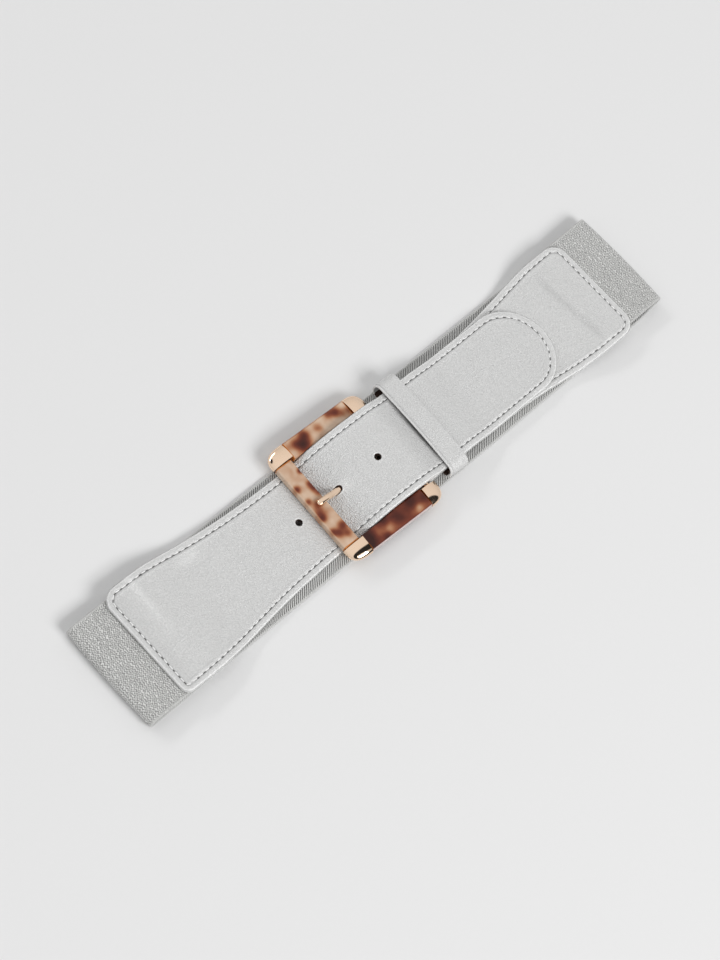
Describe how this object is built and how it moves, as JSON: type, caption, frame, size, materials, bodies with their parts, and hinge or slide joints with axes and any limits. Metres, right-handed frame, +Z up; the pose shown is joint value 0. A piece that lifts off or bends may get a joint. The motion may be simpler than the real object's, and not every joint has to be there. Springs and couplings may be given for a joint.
{
  "type": "elastic stretch belt",
  "caption": "Wide elastic belt with leather hole strap, mottled square buckle, metal prong and keeper loop, fastened and lying flat.",
  "frame": {"origin": "middle of the belt's bounding box in plan, on the surface it lies on", "axes": "+X along the belt from the hole strap's fold to the buckle tab's fold, +Y across it, +Z up from the surface"},
  "size_m": [0.3654, 0.0724, 0.0133],
  "materials": {
    "elastic": "grey ribbed elastic with a faint sparkle",
    "leather": "silver grey, fine grain, satin",
    "tortoiseshell": "mottled amber and dark brown, polished",
    "gold": "pale rose gold, polished"
  },
  "bodies": {
    "root": {"elastic_band": "elastic", "hole_strap": "leather", "buckle_tab": "leather", "keeper_loop": "leather", "front_bar": "tortoiseshell", "left_bar": "tortoiseshell", "right_bar": "tortoiseshell", "corner_cap_1": "gold", "corner_cap_2": "gold", "corner_cap_3": "gold", "corner_cap_4": "gold", "hinge_bar": "gold", "prong": "gold"}
  },
  "joints": []
}
